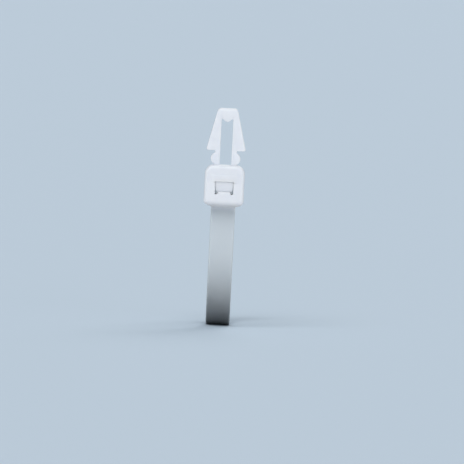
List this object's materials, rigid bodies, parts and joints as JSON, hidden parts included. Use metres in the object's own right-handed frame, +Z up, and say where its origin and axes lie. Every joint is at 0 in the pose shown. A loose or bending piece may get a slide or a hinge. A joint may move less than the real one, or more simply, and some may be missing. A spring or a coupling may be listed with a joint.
{
  "type": "arrowhead push mount cable tie",
  "caption": "Nylon cable tie closed into a loop, with a slotted arrowhead on its ratchet head that snaps into a panel hole and holds a wire bundle.",
  "frame": {"origin": "on the arrowhead's axis, at the face of the head that seats on the panel", "axes": "+Z up the arrowhead, +X across the strap's width, -Y the way the tail leaves the head"},
  "size_m": [0.008, 0.0347, 0.0443],
  "materials": {
    "natural_nylon": "satin, milky translucent, as moulded"
  },
  "bodies": {
    "root": {"cable_tie": "natural_nylon"}
  },
  "joints": []
}
